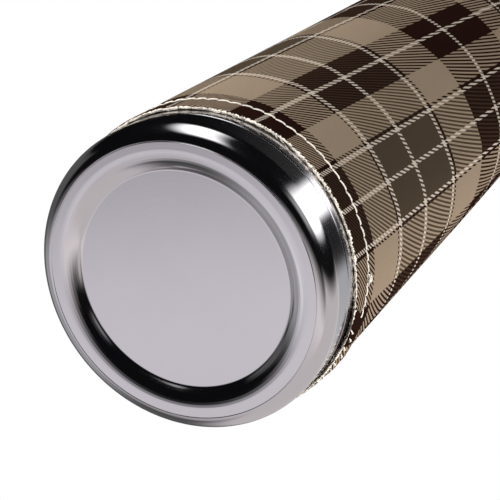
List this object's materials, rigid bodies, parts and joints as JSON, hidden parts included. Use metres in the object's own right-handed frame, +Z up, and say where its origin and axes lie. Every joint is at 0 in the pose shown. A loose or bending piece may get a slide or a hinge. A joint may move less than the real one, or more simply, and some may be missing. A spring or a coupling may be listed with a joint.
{
  "type": "vacuum flask",
  "caption": "Insulated steel flask with a polished recessed base, stitched tartan sleeve, push-button stopper and screw-on cup.",
  "frame": {"origin": "middle of the ring that the flask stands on", "axes": "+Z up the flask's axis from the base to the cup; the sleeve's seam is 24 degrees round from +X towards +Y"},
  "size_m": [0.0767, 0.0768, 0.288],
  "materials": {
    "polished_steel": "mirror polished with faint turning marks",
    "brushed_steel": "brushed round the axis",
    "inner_steel": "satin, electropolished",
    "tartan_cloth": "printed twill in tan, olive brown, dark brown and cream",
    "cream_thread": "twisted sewing thread",
    "cup_plastic": "fine moulded texture",
    "stopper_plastic": "fine moulded texture",
    "button_plastic": "satin moulded",
    "silicone": "matt silicone",
    "spring_steel": "drawn wire",
    "copper_foil": "thin wrinkled foil",
    "braze": "dull bead"
  },
  "bodies": {
    "flask": {"base_cup": "polished_steel", "vacuum_base": "inner_steel", "exhaust_seal": "braze", "getter": "inner_steel", "outer_shell": "brushed_steel", "shoulder_neck": "brushed_steel", "inner_bottle": "inner_steel", "radiation_foil": "copper_foil", "plaid_sleeve": "tartan_cloth", "hem_thread_lower": "cream_thread", "hem_thread_upper": "cream_thread", "seam_thread": "cream_thread"},
    "cup_lift": {"cup_ring": "cup_plastic"},
    "cup": {"cup_shell": "brushed_steel", "cup_liner": "cup_plastic"},
    "stopper_lift": {"stopper_gasket": "silicone"},
    "stopper": {"stopper_body": "stopper_plastic", "stopper_cover": "stopper_plastic", "button_spring": "spring_steel"},
    "button": {"push_button": "button_plastic", "valve_stem": "stopper_plastic", "valve_head": "stopper_plastic", "valve_seal": "silicone", "valve_screw": "spring_steel"},
    "tab_right": {"release_tab_right": "button_plastic"},
    "tab_left": {"release_tab_left": "button_plastic"}
  },
  "joints": [
    {"name": "cup_rise", "type": "slide", "parent": "flask", "child": "cup_lift", "axis": [0, 0, 1], "range_m": [0, 0.007]},
    {"name": "cup_turn", "type": "hinge", "parent": "cup_lift", "child": "cup", "pos_m": [0, 0, 0.23], "axis": [0, 0, 1], "range_deg": [0, 630]},
    {"name": "stopper_rise", "type": "slide", "parent": "flask", "child": "stopper_lift", "axis": [0, 0, 1], "range_m": [0, 0.007]},
    {"name": "stopper_turn", "type": "hinge", "parent": "stopper_lift", "child": "stopper", "pos_m": [0, 0, 0.226], "axis": [0, 0, 1], "range_deg": [0, 630]},
    {"name": "button_press", "type": "slide", "parent": "stopper", "child": "button", "axis": [0, 0, -1], "range_m": [0, 0.004], "stiffness_N_per_m": 400, "springref_m": -0.01, "deforming": ["button_spring"]},
    {"name": "tab_right_press", "type": "slide", "parent": "stopper", "child": "tab_right", "axis": [-1, 0, 0], "range_m": [0, 0.0015], "stiffness_N_per_m": 600, "springref_m": -0.002},
    {"name": "tab_left_press", "type": "slide", "parent": "stopper", "child": "tab_left", "axis": [1, 0, 0], "range_m": [0, 0.0015], "stiffness_N_per_m": 600, "springref_m": -0.002}
  ],
  "couplings": [
    {"joint": "cup_rise", "follows": "cup_turn", "m_per_rad": 0.00063662},
    {"joint": "stopper_rise", "follows": "stopper_turn", "m_per_rad": 0.00063662}
  ]
}
